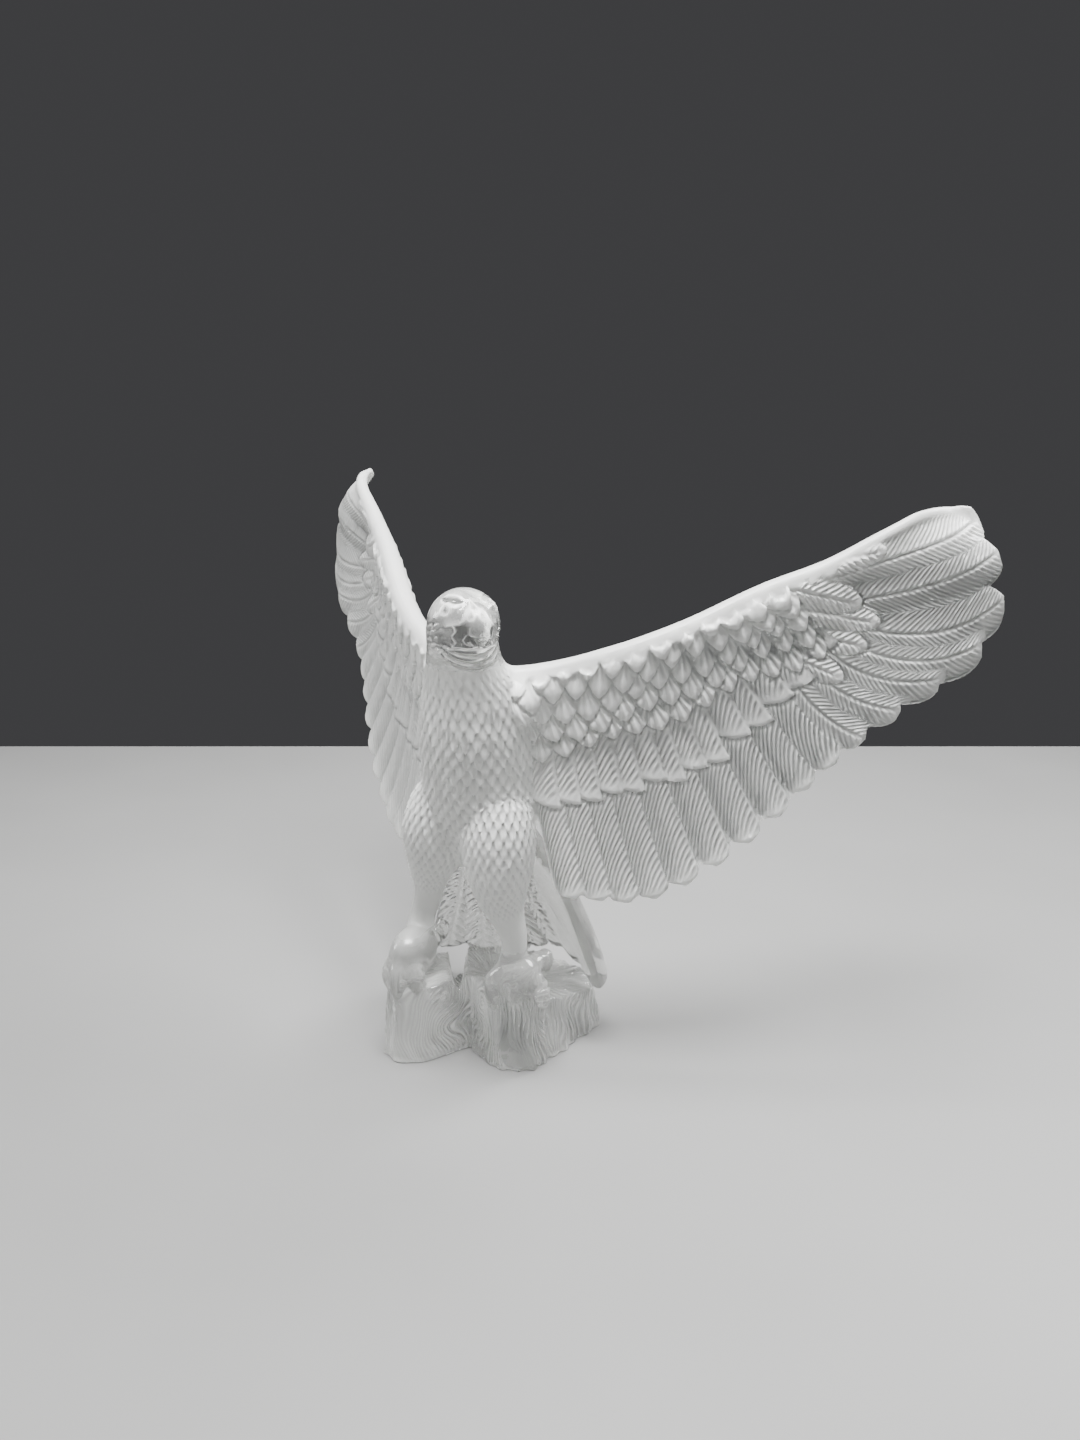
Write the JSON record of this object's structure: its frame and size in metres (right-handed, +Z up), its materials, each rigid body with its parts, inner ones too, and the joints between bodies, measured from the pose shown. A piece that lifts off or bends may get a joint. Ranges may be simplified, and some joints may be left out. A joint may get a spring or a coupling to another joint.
{
  "type": "crystal eagle sculpture",
  "caption": "Cast crystal eagle with raised, spread wings and its head turned to one side, standing on a fluted rock base.",
  "frame": {"origin": "middle of the rock's flat underside", "axes": "+Z up, -Y the way the breast faces, +X the bird's left, along the wings"},
  "size_m": [0.3613, 0.1645, 0.2399],
  "materials": {
    "crystal": "clear lead crystal, satin-frosted on wings, body and thighs, polished on head, feet and rock"
  },
  "bodies": {
    "root": {"crystal_eagle": "crystal"}
  },
  "joints": []
}
